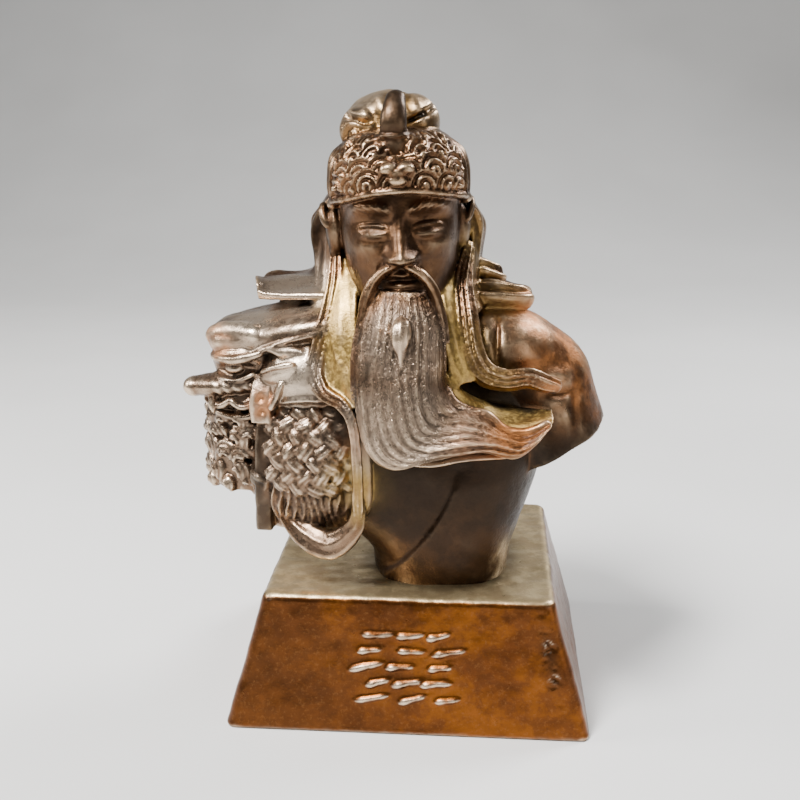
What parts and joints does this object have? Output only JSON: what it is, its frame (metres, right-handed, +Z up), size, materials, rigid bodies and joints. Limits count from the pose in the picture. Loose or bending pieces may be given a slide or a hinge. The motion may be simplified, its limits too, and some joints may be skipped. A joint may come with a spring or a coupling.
{
  "type": "guan yu statue",
  "caption": "Small cast metal bust of a bearded general in a cloth cap, armour and cloak, on a tapered plinth; a desk ornament that stands on its flat underside.",
  "frame": {"origin": "middle of the plinth's flat underside, where the statue rests", "axes": "+Z up, the figure faces -Y, and +X is to the right of someone who looks at its face"},
  "size_m": [0.0508, 0.0389, 0.0744],
  "materials": {
    "bust_bronze": "dark brown patinated cast copper alloy, semi-gloss, with copper-coloured worn edges and yellow-olive recesses",
    "plinth_bronze": "orange-brown patinated cast copper alloy, semi-gloss and mottled, with an olive top and bright worn edges"
  },
  "bodies": {
    "root": {"bust": "bust_bronze", "plinth": "plinth_bronze"}
  },
  "joints": []
}
